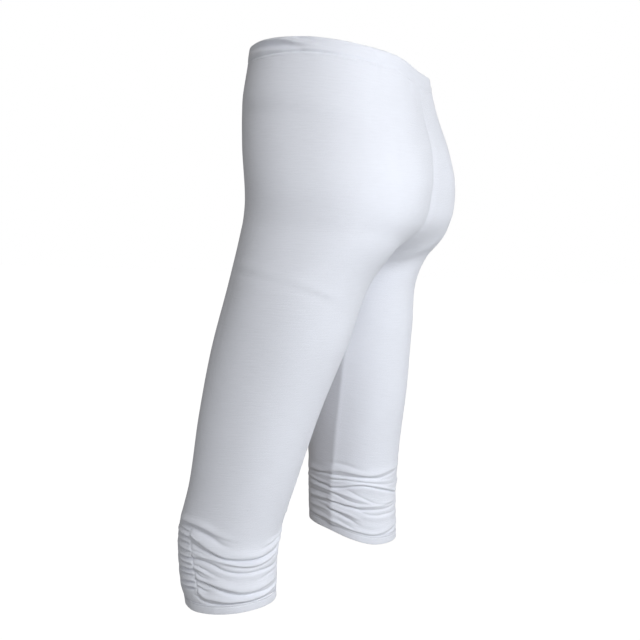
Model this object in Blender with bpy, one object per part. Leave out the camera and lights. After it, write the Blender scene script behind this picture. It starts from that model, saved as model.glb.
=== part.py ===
"""White jersey capri leggings, filled out as worn, with nobody in them.

Metres, +Z up. The front faces -Y and the wearer's left side is at +X. The origin is the middle of
the waist opening. Two leg panels meet at the centre front and the centre back, a turned waist casing
closes the top, and a turned hem ends each leg below a zone that is gathered at its outer side.
"""
from collections import namedtuple
from math import pi

import bmesh
import bpy
import numpy as np

# Wall, seams and bands
WALL = 0.0016
SEAM_GAP = 0.0003
CASING_HEIGHT = 0.019
HEM_HEIGHT = 0.010
GATHER_HEIGHT = 0.114

# How the rows of points tilt: parts of the length that follow the waist's rim and the hem
RIM_REACH = 0.22
HEM_LEVEL = 0.20
HEM_REACH = 0.35

# Roundness of the sections and of the places where they join
TORSO_POWER = 2.3
LEG_POWER = 2.1
LEG_BLEND = 0.022
TORSO_BLEND = 0.045
TORSO_FALL = 1.0

# Length below the crotch over which the inseam swings round to the leg's inner side
INSEAM_SWING = 0.30

# Fineness of the solids
PANEL_COLUMNS = 30
ROWS_ABOVE_CROTCH = 17
ROWS_BELOW_CROTCH = 12
ROW_CROWDING = 2.0
CROTCH_CROWDING = 0.6
CROTCH_REACH = 0.07

# How the surface is found: search steps, farthest reach, reach of a slope, and a length near nothing
BISECTIONS = 26
DENSE_COLUMNS = 160
FAR = 0.25
SLOPE_REACH = 0.0005
TINY = 1e-6

# Where the crotch is looked for: range of y and its number of places, then range of z
CROTCH_SEARCH_Y = (-0.06, 0.08)
CROTCH_SEARCH_PLACES = 281
CROTCH_SEARCH_Z = (-0.34, -0.12)

WHITE_JERSEY = (0.76, 0.79, 0.86)
WHITE_CASING = (0.74, 0.77, 0.84)
WHITE_HEM = (0.72, 0.75, 0.82)
CLOTH_ROUGHNESS = 0.9


def table(names, *rows):
    """A table as a dictionary with an array for each named column, sorted by its first one."""
    values = np.array(sorted(rows), float).T
    return dict(zip(names.split(), values))


# Half width, and y of the front and of the back
TORSO = table(
    "height half_width front back",
    (0.040, 0.120, -0.096, 0.088),
    (0.000, 0.124, -0.101, 0.090),
    (-0.060, 0.136, -0.103, 0.098),
    (-0.110, 0.148, -0.092, 0.111),
    (-0.160, 0.148, -0.082, 0.110),
    (-0.195, 0.120, -0.070, 0.098),
    (-0.225, 0.050, -0.030, 0.060),
)

# Leg sections: centre, half width, and depth to the front and to the back
LEG_COLUMNS = "height centre_x centre_y half_width front back"
SHARED_TOP = (
    (0.040, 0.050, -0.002, 0.050, 0.060, 0.060),
    (0.000, 0.056, -0.002, 0.056, 0.066, 0.066),
    (-0.050, 0.066, 0.000, 0.070, 0.080, 0.078),
    (-0.100, 0.076, 0.004, 0.082, 0.088, 0.092),
    (-0.150, 0.083, 0.004, 0.086, 0.083, 0.106),
)

LEFT_LEG = table(
    LEG_COLUMNS,
    *SHARED_TOP,
    (-0.200, 0.088, -0.004, 0.085, 0.084, 0.103),
    (-0.255, 0.093, -0.022, 0.081, 0.079, 0.080),
    (-0.330, 0.100, -0.046, 0.073, 0.075, 0.078),
    (-0.410, 0.107, -0.068, 0.065, 0.068, 0.071),
    (-0.490, 0.111, -0.088, 0.059, 0.060, 0.065),
    (-0.550, 0.113, -0.105, 0.057, 0.057, 0.063),
    (-0.600, 0.114, -0.107, 0.057, 0.053, 0.060),
    (-0.670, 0.114, -0.104, 0.056, 0.048, 0.056),
)

RIGHT_LEG = table(
    LEG_COLUMNS,
    *SHARED_TOP,
    (-0.200, 0.088, -0.001, 0.085, 0.086, 0.105),
    (-0.255, 0.093, -0.010, 0.081, 0.084, 0.076),
    (-0.330, 0.101, -0.017, 0.073, 0.076, 0.072),
    (-0.410, 0.108, -0.020, 0.065, 0.066, 0.067),
    (-0.490, 0.113, -0.023, 0.059, 0.060, 0.059),
    (-0.550, 0.116, -0.026, 0.057, 0.058, 0.057),
    (-0.600, 0.117, -0.026, 0.056, 0.057, 0.057),
    (-0.670, 0.117, -0.026, 0.056, 0.056, 0.056),
)

# The waist's rim: degrees from the front over the left side, with the rim's height there
RIM = table(
    "turn height",
    (0, -0.001),
    (45, 0.012),
    (90, 0.018),
    (135, 0.003),
    (180, -0.013),
    (225, -0.017),
    (270, -0.004),
    (315, -0.004),
)
RIM_AXIS_Y = -0.005

# Hem edges: height at the leg's centre, then the rise for each metre towards the back and outwards
Hem = namedtuple("Hem", "height back out")
LEFT_HEM = Hem(-0.632, 0.04, 0.00)
RIGHT_HEM = Hem(-0.600, -0.26, -0.09)

# Gathers, from the highest: height above the hem and depth at the front, outer, back and inner side
Gather = namedtuple("Gather", "front outer back inner front_depth outer_depth back_depth inner_depth")
LEFT_GATHERS = (
    Gather(0.106, 0.103, 0.095, 0.104, 0.0012, 0.0020, 0.0007, 0.0010),
    Gather(0.090, 0.090, 0.064, 0.085, 0.0018, 0.0026, 0.0024, 0.0016),
    Gather(0.070, 0.072, 0.053, 0.063, 0.0016, 0.0022, 0.0020, 0.0022),
    Gather(0.052, 0.056, 0.040, 0.047, 0.0016, 0.0020, 0.0006, 0.0010),
    Gather(0.037, 0.041, 0.027, 0.032, 0.0020, 0.0024, 0.0026, 0.0022),
    Gather(0.021, 0.024, 0.015, 0.018, 0.0014, 0.0018, 0.0016, 0.0016),
)
RIGHT_GATHERS = (
    Gather(0.094, 0.103, 0.099, 0.087, 0.0012, 0.0020, 0.0014, 0.0018),
    Gather(0.074, 0.088, 0.081, 0.072, 0.0018, 0.0026, 0.0018, 0.0020),
    Gather(0.058, 0.070, 0.052, 0.052, 0.0018, 0.0022, 0.0024, 0.0026),
    Gather(0.043, 0.053, 0.038, 0.034, 0.0016, 0.0022, 0.0014, 0.0022),
    Gather(0.029, 0.037, 0.026, 0.023, 0.0018, 0.0024, 0.0018, 0.0016),
    Gather(0.017, 0.022, 0.015, 0.014, 0.0014, 0.0016, 0.0014, 0.0012),
)
# Turns round a leg, in degrees from its inner side over the front, at which the gathers are given
GATHER_TURNS = (80, 155, 250, 360)
# Turn of a leg's outer side, where a row's level is read
OUTER_TURN = 180
# Share of a gather's depth that stands out of the cloth's surface; the rest lies in it
RIDGE_SHARE = 0.7

# Casing section: distance below the rim, then distance out from the cloth's surface
CASING_SECTION = (
    (0.0000, -0.0007),
    (0.0007, 0.0004),
    (0.0030, 0.0009),
    (0.0100, 0.0010),
    (0.0165, 0.0008),
    (0.0190, 0.0002),
    (0.0190, -0.0016),
    (0.0165, -0.0021),
    (0.0030, -0.0021),
    (0.0007, -0.0017),
)
# Hem section: height above the hem edge, then distance out from the cloth's surface
HEM_SECTION = (
    (0.0100, -0.0002),
    (0.0085, 0.0005),
    (0.0045, 0.0006),
    (0.0007, 0.0003),
    (0.0000, -0.0006),
    (0.0007, -0.0017),
    (0.0050, -0.0018),
    (0.0100, -0.0017),
)

# The fold under each side of the seat: turn round the leg, height above the hem, and depth. It is
# faint on the left, whose thigh is forward.
LEFT_SEAT_FOLD = table(
    "turn up depth",
    (226, 0.442, 0.0000),
    (244, 0.434, 0.0008),
    (260, 0.430, 0.0012),
    (276, 0.428, 0.0010),
    (296, 0.426, 0.0000),
)
RIGHT_SEAT_FOLD = table(
    "turn up depth",
    (232, 0.366, 0.0000),
    (252, 0.365, 0.0016),
    (268, 0.364, 0.0028),
    (280, 0.362, 0.0036),
    (297, 0.356, 0.0044),
    (312, 0.348, 0.0042),
    (327, 0.338, 0.0034),
    (342, 0.331, 0.0018),
    (356, 0.328, 0.0000),
)
SEAT_FOLD_WIDTH = 0.013

Side = namedtuple("Side", "name sign leg hem gathers seat_fold")
LEFT = Side("left", 1, LEFT_LEG, LEFT_HEM, LEFT_GATHERS, LEFT_SEAT_FOLD)
RIGHT = Side("right", -1, RIGHT_LEG, RIGHT_HEM, RIGHT_GATHERS, RIGHT_SEAT_FOLD)


def spline(knots, values, at):
    """A smooth curve through the values at the knots, read at any places."""
    step = np.diff(knots)
    slope = np.diff(values) / step
    lean = np.empty_like(values)
    lean[1:-1] = (slope[:-1] * step[1:] + slope[1:] * step[:-1]) / (step[1:] + step[:-1])
    lean[0] = slope[0]
    lean[-1] = slope[-1]
    at = np.clip(at, knots[0], knots[-1])
    k = np.clip(np.searchsorted(knots, at, side="right") - 1, 0, len(knots) - 2)
    t = (at - knots[k]) / step[k]
    ends = (1 + 2 * t) * (1 - t) ** 2 * values[k] + t * t * (3 - 2 * t) * values[k + 1]
    leans = t * (1 - t) ** 2 * lean[k] + t * t * (t - 1) * lean[k + 1]
    return ends + leans * step[k]


def ease(t):
    """A smooth step from 0 to 1."""
    t = np.clip(t, 0, 1)
    return t * t * (3 - 2 * t)


def read(columns, name, height):
    return spline(columns["height"], columns[name], height)


def oval_ratio(x, y, half_width, front, back, power):
    """How far out a point lies in an oval section: 0 at its middle, 1 on its edge."""
    depth = np.where(y < 0, front, back)
    return ((np.abs(x) / half_width) ** power + (np.abs(y) / depth) ** power) ** (1 / power)


def melt(a, b, reach):
    """The smaller of two distances, rounded where they are alike."""
    near = np.maximum(reach - np.abs(a - b), 0) / reach
    return np.minimum(a, b) - near * near * reach / 4


def leg_form(side, x, y, z):
    """Distance outside a leg, negative inside it."""
    leg = side.leg
    dx = x - side.sign * read(leg, "centre_x", z)
    dy = y - read(leg, "centre_y", z)
    size = [read(leg, name, z) for name in ("half_width", "front", "back")]
    ratio = np.maximum(oval_ratio(dx, dy, *size, LEG_POWER), TINY)
    radius = np.hypot(dx, dy)
    return radius - radius / ratio


def torso_form(x, y, z):
    """Rough distance outside the torso, negative inside it, and smooth at its middle too."""
    half_width = read(TORSO, "half_width", z)
    front = read(TORSO, "front", z)
    back = read(TORSO, "back", z)
    depth = (back - front) / 2
    ratio = oval_ratio(x, y - (front + back) / 2, half_width, depth, depth, TORSO_POWER)
    below = np.maximum(TORSO["height"][0] - z, 0)
    return np.sqrt(half_width * depth) * (ratio**2 - 1) / 2 + TORSO_FALL * below


def form(x, y, z):
    """Distance outside the filled-out leggings, negative inside them."""
    legs = melt(leg_form(LEFT, x, y, z), leg_form(RIGHT, x, y, z), LEG_BLEND)
    return melt(legs, torso_form(x, y, z), TORSO_BLEND)


def outward(p):
    """The form's outward direction at points on it."""
    slopes = []
    for axis in np.eye(3) * SLOPE_REACH:
        ahead = form(*np.moveaxis(p + axis, -1, 0))
        behind = form(*np.moveaxis(p - axis, -1, 0))
        slopes.append(ahead - behind)
    n = np.stack(slopes, axis=-1)
    return n / np.linalg.norm(n, axis=-1, keepdims=True)


def find_crotch():
    """The lowest place of the form on the middle plane: its y and z."""
    y = np.linspace(*CROTCH_SEARCH_Y, CROTCH_SEARCH_PLACES)
    low, high = (np.full_like(y, z) for z in CROTCH_SEARCH_Z)
    for _ in range(BISECTIONS):
        z = (high + low) / 2
        inside = form(0 * y, y, z) < 0
        high = np.where(inside, z, high)
        low = np.where(inside, low, z)
    lowest = np.argmin(high)
    return y[lowest], high[lowest]


CROTCH_Y, CROTCH_Z = find_crotch()


def closed_curve(knots, values, turn):
    """A smooth curve that meets itself after 360 degrees."""
    knots = np.concatenate([knots - 360, knots, knots + 360])
    return spline(knots, np.tile(values, 3), turn)


def rim_height(x, y):
    turn = np.degrees(np.arctan2(x, RIM_AXIS_Y - y)) % 360
    return closed_curve(RIM["turn"], RIM["height"], turn)


def hem_rise(side, x, y):
    """How far the hem edge lies above its height at the leg's centre."""
    hem = side.hem
    out = side.sign * x - read(side.leg, "centre_x", hem.height)
    return hem.back * (y - read(side.leg, "centre_y", hem.height)) + hem.out * out


def row_height(side, up, x, y):
    """World height of a row that runs a given distance above the hem edge."""
    length = -side.hem.height
    share = up / length
    rim = ease((share - 1 + RIM_REACH) / RIM_REACH)
    hem = 1 - ease((share - HEM_LEVEL) / HEM_REACH)
    return up - length + rim * rim_height(x, y) + hem * hem_rise(side, x, y)


def gather_lines(side, turn):
    """Heights and bulges of the lines that bound the gathers, from the highest, at each turn."""
    knots = np.array(GATHER_TURNS, float)
    count = len(knots)
    ridges = [closed_curve(knots, np.array(g[:count]), turn) for g in side.gathers]
    depths = [closed_curve(knots, np.array(g[count:]), turn) for g in side.gathers]
    heights = [GATHER_HEIGHT + 0 * turn]
    bulges = [0 * turn]
    for k, (ridge, depth) in enumerate(zip(ridges, depths)):
        heights.append(ridge)
        bulges.append(RIDGE_SHARE * depth)
        if k + 1 < len(ridges):
            heights.append((ridge + ridges[k + 1]) / 2)
            bulges.append((RIDGE_SHARE - 1) * (depth + depths[k + 1]) / 2)
    heights.append(HEM_HEIGHT + SEAM_GAP + 0 * turn)
    bulges.append(0 * turn)
    return np.array(heights), np.array(bulges)


def seat_dip(side, turn, up):
    """How far the fold under the seat draws the cloth in."""
    fold = side.seat_fold
    line = spline(fold["turn"], fold["up"], turn)
    depth = spline(fold["turn"], fold["depth"], turn)
    return depth * np.exp(-(((up - line) / SEAT_FOLD_WIDTH) ** 2))


def row_shape(side, row, turn):
    """Distance above the hem, and bulge, of a row at each turn.

    Row 0 is the waist's rim, row 1 the top of the gathers, and each whole number after it a line of
    the gathers, down to the panel's lower edge.
    """
    length = -side.hem.height
    plain = length + (GATHER_HEIGHT - length) * row
    heights, bulges = gather_lines(side, turn)
    place = np.clip(row - 1, 0, len(heights) - 1 - TINY)
    k = np.floor(place).astype(int)
    k = np.broadcast_to(k, turn.shape)
    share = place - k
    upper = np.take_along_axis(heights, k[None], 0)[0]
    lower = np.take_along_axis(heights, k[None] + 1, 0)[0]
    swell = np.take_along_axis(bulges, k[None], 0)[0]
    next_swell = np.take_along_axis(bulges, k[None] + 1, 0)[0]
    up = np.where(row < 1, plain, upper + (lower - upper) * share)
    bulge = np.where(row < 1, -seat_dip(side, turn, up), swell + (next_swell - swell) * ease(share))
    return up, bulge


def row_of(side, up):
    """The row that runs a plain distance above the hem, above the gathers."""
    length = -side.hem.height
    return (length - up) / (length - GATHER_HEIGHT)


def cloth_rows(side, rows, columns):
    """Points of the cloth's outer surface, [row, column], and which rows stop at the middle plane.

    Such a row runs from the centre front round the outside to the centre back. The others run once
    round the leg, from the inseam over the front.
    """
    sign = side.sign
    edge = SEAM_GAP / 2
    row = np.asarray(rows, float)[:, None]
    level = np.maximum(row_shape(side, row, np.full_like(row, OUTER_TURN))[0], 0)
    height = level + side.hem.height
    centre_x = read(side.leg, "centre_x", height)
    centre_y = read(side.leg, "centre_y", height)
    at_crotch = row_height(side, level, sign * edge, CROTCH_Y)
    stops = form(sign * edge, CROTCH_Y, at_crotch) < -TINY
    ends = []
    for direction in (-1, 1):
        near = np.full_like(row, CROTCH_Y)
        far = near + direction * FAR
        for _ in range(BISECTIONS):
            y = (near + far) / 2
            inside = form(sign * edge, y, row_height(side, level, sign * edge, y)) < 0
            near = np.where(inside, y, near)
            far = np.where(inside, far, y)
        ends.append(np.arctan2(centre_y - near, centre_x - edge))
    toward_crotch = np.arctan2(centre_y - CROTCH_Y, centre_x)
    inseam = toward_crotch * (1 - ease((CROTCH_Z - height) / INSEAM_SWING))
    first = np.where(stops, ends[0], inseam)
    last = 2 * pi + np.where(stops, ends[1], inseam)

    def surface(angle):
        step_x = -sign * np.cos(angle)
        step_y = -np.sin(angle)
        up, bulge = row_shape(side, row, np.degrees(angle) % 360)
        near = np.zeros_like(angle)
        far = np.minimum(FAR, (centre_x - edge) / np.maximum(np.cos(angle), TINY))
        for _ in range(BISECTIONS):
            reach = (near + far) / 2
            x = sign * centre_x + step_x * reach
            y = centre_y + step_y * reach
            inside = form(x, y, row_height(side, up, x, y)) < 0
            near = np.where(inside, reach, near)
            far = np.where(inside, far, reach)
        x = sign * centre_x + step_x * near
        y = centre_y + step_y * near
        base = np.stack([x, y, row_height(side, up, x, y)], axis=-1)
        out = np.stack([step_x, step_y, 0 * step_x], axis=-1)
        return base, base + out * bulge[..., None]

    dense = first + (last - first) * np.linspace(0, 1, DENSE_COLUMNS + 1)
    steps = np.linalg.norm(np.diff(surface(dense)[0], axis=1), axis=-1)
    run = np.concatenate([np.zeros_like(row), np.cumsum(steps, axis=1)], axis=1)
    even = np.linspace(0, 1, columns + 1)
    crowding = CROTCH_CROWDING * np.exp(-(((height - CROTCH_Z) / CROTCH_REACH) ** 2))
    share = even - crowding * np.sin(2 * pi * even) / (2 * pi)
    angle = np.array([np.interp(s * r[-1], r, a) for s, r, a in zip(share, run, dense)])
    base, outer = surface(angle)
    return base, outer, stops[:, 0]


def panel_rows(side):
    """Rows of a leg panel: close together at the crotch, and two for each line of the gathers."""
    length = -side.hem.height
    top = length - CASING_HEIGHT - SEAM_GAP
    crotch = length + CROTCH_Z
    steps_up = np.linspace(1, 0, ROWS_ABOVE_CROTCH + 1) ** ROW_CROWDING
    steps_down = np.linspace(0, 1, ROWS_BELOW_CROTCH + 1)[1:] ** ROW_CROWDING
    above = crotch + (top - crotch) * steps_up
    below = crotch + (GATHER_HEIGHT - crotch) * steps_down
    plain = [row_of(side, up) for up in np.concatenate([above, below])]
    lines = 2 * len(side.gathers)
    gathered = 1 + np.linspace(0, lines, 2 * lines + 1)[1:]
    return np.concatenate([plain, gathered])


def new_object(name, bm, colour):
    """An object from a closed mesh, with its own cloth material."""
    bmesh.ops.recalc_face_normals(bm, faces=bm.faces)
    mesh = bpy.data.meshes.new(name)
    bm.to_mesh(mesh)
    bm.free()
    mesh.shade_smooth()
    material = bpy.data.materials.new(name + "_jersey")
    material.use_nodes = True
    shader = material.node_tree.nodes["Principled BSDF"]
    shader.inputs["Base Color"].default_value = (*colour, 1)
    shader.inputs["Roughness"].default_value = CLOTH_ROUGHNESS
    mesh.materials.append(material)
    thing = bpy.data.objects.new(name, mesh)
    bpy.context.collection.objects.link(thing)
    return thing


def leg_panel(side):
    """One leg with its half of the body: a wall between an outer and an inner grid of points."""
    base, outer, stops = cloth_rows(side, panel_rows(side), PANEL_COLUMNS)
    inner = outer - WALL * outward(base)
    inner[stops, 0, 0] = side.sign * SEAM_GAP / 2
    inner[stops, -1, 0] = side.sign * SEAM_GAP / 2
    bm = bmesh.new()
    grids = []
    for points in (outer, inner):
        grid = []
        for row, stopped in zip(points, stops):
            made = [bm.verts.new(p) for p in (row if stopped else row[:-1])]
            grid.append(made if stopped else made + made[:1])
        grids.append(grid)
    outside, inside = grids
    for grid in grids:
        for upper, lower in zip(grid, grid[1:]):
            for k in range(PANEL_COLUMNS):
                corners = (upper[k], upper[k + 1], lower[k + 1], lower[k])
                turned = 1 if k < PANEL_COLUMNS / 2 else 0
                a, b, c, d = corners[turned:] + corners[:turned]
                bm.faces.new((a, b, c))
                bm.faces.new((a, c, d))
    for end in (0, -1):
        for k in range(PANEL_COLUMNS):
            bm.faces.new((outside[end][k], outside[end][k + 1], inside[end][k + 1], inside[end][k]))
    for k in np.flatnonzero(stops):
        for edge in (0, -1):
            corners = (outside[k][edge], outside[k + 1][edge], inside[k + 1][edge], inside[k][edge])
            bm.faces.new(corners)
    return new_object("leg_" + side.name, bm, WHITE_JERSEY)


def ring(name, loops, colour):
    """A closed ring whose section passes through one loop of points after another."""
    bm = bmesh.new()
    made = [[bm.verts.new(p) for p in loop] for loop in loops]
    count = len(made[0])
    for a, b in zip(made, made[1:] + made[:1]):
        for k in range(count):
            bm.faces.new((a[k], a[(k + 1) % count], b[(k + 1) % count], b[k]))
    return new_object(name, bm, colour)


def waist_casing():
    """The turned casing round the waist, with a rounded top, from the panels' own columns."""
    loops = []
    for down, out in CASING_SECTION:
        halves = []
        for side in (LEFT, RIGHT):
            length = -side.hem.height
            base, _, _ = cloth_rows(side, [row_of(side, length - down)], PANEL_COLUMNS)
            halves.append((base + out * outward(base))[0])
        left, right = halves
        front = (left[0] + right[0]) / 2
        back = (left[-1] + right[-1]) / 2
        loops.append([front, *left[1:-1], back, *right[-2:0:-1]])
    return ring("waist_casing", loops, WHITE_CASING)


def hem_band(side):
    """The turned hem of one leg, with a rounded lower edge."""
    base, _, _ = cloth_rows(side, [1 + 2 * len(side.gathers)], PANEL_COLUMNS)
    out = outward(base)[0, :-1]
    out[:, 2] = 0
    out = out / np.linalg.norm(out, axis=1, keepdims=True)
    edge = base[0, :-1]
    lift = edge[:, 2] - row_height(side, np.zeros(len(edge)), edge[:, 0], edge[:, 1])
    loops = []
    for up, bulge in HEM_SECTION:
        loop = edge + out * bulge
        loop[:, 2] += up - lift
        loops.append(loop)
    return ring("hem_" + side.name, loops, WHITE_HEM)


def main():
    for thing in list(bpy.data.objects):
        bpy.data.objects.remove(thing)
    waist_casing()
    for side in (LEFT, RIGHT):
        leg_panel(side)
        hem_band(side)


main()
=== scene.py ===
from collections import namedtuple
from math import pi, radians

import bpy
import numpy as np
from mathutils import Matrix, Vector


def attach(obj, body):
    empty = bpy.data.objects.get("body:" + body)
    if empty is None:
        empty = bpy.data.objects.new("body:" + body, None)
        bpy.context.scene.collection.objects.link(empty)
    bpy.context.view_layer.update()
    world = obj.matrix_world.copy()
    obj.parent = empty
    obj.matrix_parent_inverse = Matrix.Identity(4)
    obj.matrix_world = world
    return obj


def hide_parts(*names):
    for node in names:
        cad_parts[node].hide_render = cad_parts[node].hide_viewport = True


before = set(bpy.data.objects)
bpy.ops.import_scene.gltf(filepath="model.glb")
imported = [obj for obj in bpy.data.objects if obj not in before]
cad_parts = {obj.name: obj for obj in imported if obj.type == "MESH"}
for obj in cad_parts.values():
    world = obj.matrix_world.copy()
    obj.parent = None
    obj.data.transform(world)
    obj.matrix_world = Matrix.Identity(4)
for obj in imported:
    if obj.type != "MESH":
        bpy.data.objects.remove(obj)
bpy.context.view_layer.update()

# White jersey capri leggings, filled out as worn, on the form that the solids have. The front faces
# -Y and the wearer's left side is at +X. Each panel is a thin shell with its gathers, folds and seams.
# Turns are in degrees. Lengths are in metres, but in mm in tables, folds and where a comment says so.

# Thickness of the cloth, heights of the bands, gap at a band, height of the gathered part
CLOTH = 0.0007
CASING_HEIGHT = 0.019
HEM_HEIGHT = 0.010
LIP_GAP = 0.0003
GATHER_HEIGHT = 0.114
# Tilt of the rows, as shares of a leg's length: how far down the rim's tilt reaches, and where the
# hem's tilt starts to fade and over how much more
RIM_REACH = 0.22
HEM_LEVEL = 0.20
HEM_REACH = 0.35

# The form, from the same values and tables as the solids. A power shapes an oval section: 2 gives an
# ellipse and more gives fuller corners. The blends round the places where legs and torso melt together.
TORSO_POWER = 2.3
LEG_POWER = 2.1
LEG_BLEND = 0.022
TORSO_BLEND = 0.045
# The torso ends below its table, where each metre adds this much distance
TORSO_FALL = 1.0
# Turn of the inseam on the leg, and over how much height below the crotch it gets there
INSEAM_TURN = 9
INSEAM_SWING = 0.30

# Fineness of the shells
PANEL_COLUMNS = 176
ROWS_ABOVE_CROTCH = 62
ROWS_BELOW_CROTCH = 40
ROWS_IN_GATHERS = 170
SECTION_POINTS = 84
# Rows crowd towards the crotch by this power, and there columns crowd towards the middle plane
ROW_CROWDING = 1.35
CROTCH_CROWDING = 0.6
CROTCH_REACH = 0.07
# More columns where there is stitching: place as a share of a row, extra columns there, half width
COLUMN_CROWDS = ((0.0, 1.4, 0.015), (0.43, 2.2, 0.030), (1.0, 1.4, 0.015))
CROWD_STEPS = 640
# Cut edges and band edges that turn by more than this many degrees look sharp
EDGE_ANGLE = 42

# How the surface is found: halvings of a search, columns of a first rough row, farthest reach from a
# leg's centre, step that measures a slope, a length near nothing, and where the crotch is looked for
BISECTIONS = 24
DENSE_COLUMNS = 160
FAR = 0.25
SLOPE_REACH = 0.0005
TINY = 1e-6
CROTCH_SEARCH_Y = (-0.06, 0.08)
CROTCH_SEARCH_PLACES = 281
CROTCH_SEARCH_Z = (-0.34, -0.12)

MM = 0.001


def table(names, *rows):
    """A table in degrees and mm as an array in degrees or metres for each column, sorted by the first."""
    columns = zip(names.split(), np.array(sorted(rows), float).T)
    return {name: values if name == "turn" else values / 1000 for name, values in columns}


# Torso sections: height, half width, and y of the front and of the back
TORSO = table(
    "height half_width front back",
    (40, 120, -96, 88),
    (0, 124, -101, 90),
    (-60, 136, -103, 98),
    (-110, 148, -92, 111),
    (-160, 148, -82, 110),
    (-195, 120, -70, 98),
    (-225, 50, -30, 60),
)

# Leg sections: height, centre, half width, and depth to the front and to the back
LEG_COLUMNS = "height centre_x centre_y half_width front back"
SHARED_TOP = (
    (40, 50, -2, 50, 60, 60),
    (0, 56, -2, 56, 66, 66),
    (-50, 66, 0, 70, 80, 78),
    (-100, 76, 4, 82, 88, 92),
    (-150, 83, 4, 86, 83, 106),
)

LEFT_LEG = table(
    LEG_COLUMNS,
    *SHARED_TOP,
    (-200, 88, -4, 85, 84, 103),
    (-255, 93, -22, 81, 79, 80),
    (-330, 100, -46, 73, 75, 78),
    (-410, 107, -68, 65, 68, 71),
    (-490, 111, -88, 59, 60, 65),
    (-550, 113, -105, 57, 57, 63),
    (-600, 114, -107, 57, 53, 60),
    (-670, 114, -104, 56, 48, 56),
)

RIGHT_LEG = table(
    LEG_COLUMNS,
    *SHARED_TOP,
    (-200, 88, -1, 85, 86, 105),
    (-255, 93, -10, 81, 84, 76),
    (-330, 101, -17, 73, 76, 72),
    (-410, 108, -20, 65, 66, 67),
    (-490, 113, -23, 59, 60, 59),
    (-550, 116, -26, 57, 58, 57),
    (-600, 117, -26, 56, 57, 57),
    (-670, 117, -26, 56, 56, 56),
)

# The waist's rim: turn from the front over the left side, with the rim's height there. The turns go
# round an upright axis at this y.
RIM_AXIS_Y = -0.005
RIM = table(
    "turn height",
    (0, -1), (45, 12), (90, 18), (135, 3),
    (180, -13), (225, -17), (270, -4), (315, -4),
)

# Hem edges: height at the leg's centre, then the rise for each metre towards the back and outwards
Hem = namedtuple("Hem", "height back out")
LEFT_HEM = Hem(-0.632, 0.04, 0.00)
RIGHT_HEM = Hem(-0.600, -0.26, -0.09)

# Large gathers, from the highest: heights above the hem, then depths, in mm and each at four turns:
# at the front, the outer side, the back and the inner side
LEFT_GATHERS = (
    (106, 103, 95, 104, 1.2, 2, 0.7, 1),
    (90, 90, 64, 85, 1.8, 2.6, 2.4, 1.6),
    (70, 72, 53, 63, 1.6, 2.2, 2, 2.2),
    (52, 56, 40, 47, 1.6, 2, 0.6, 1),
    (37, 41, 27, 32, 2, 2.4, 2.6, 2.2),
    (21, 24, 15, 18, 1.4, 1.8, 1.6, 1.6),
)
RIGHT_GATHERS = (
    (94, 103, 99, 87, 1.2, 2, 1.4, 1.8),
    (74, 88, 81, 72, 1.8, 2.6, 1.8, 2),
    (58, 70, 52, 52, 1.8, 2.2, 2.4, 2.6),
    (43, 53, 38, 34, 1.6, 2.2, 1.4, 2.2),
    (29, 37, 26, 23, 1.8, 2.4, 1.8, 1.6),
    (17, 22, 15, 14, 1.4, 1.6, 1.4, 1.2),
)
GATHER_TURNS = (80, 155, 250, 360)
# The share of a gather's depth that stands out as its ridge. The rest is the trough below it.
RIDGE_SHARE = 0.7
# The share of these rounded gathers that stays under the folds
GATHER_SOFTNESS = 0.25

# Upright stitching that draws the cloth in: height above the hem, and turn round the leg. Then its
# dip's depth and half width, and the height over which the dip fades at each end
STITCHING = table("up turn", (22, 170), (60, 162), (97, 153))
STITCHING_DIP = 0.0012
STITCHING_WIDTH = 0.0012
STITCHING_FADE = 0.006
STITCHING_PLACES = 60
# Turns become lengths of cloth with this radius
LEG_RADIUS = 0.057

# A fold passes through places given as (turn round the leg, height above the hem in mm, depth in mm).
# Ridges have a positive depth and troughs a negative one. Above and below are its half widths in mm.
# Turns run in degrees from the leg's inner side over its front.
Fold = namedtuple("Fold", "above below path")


def fold(above, below, *path):
    """A fold with its half widths and the places that it passes through."""
    return Fold(above, below, path)


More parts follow.
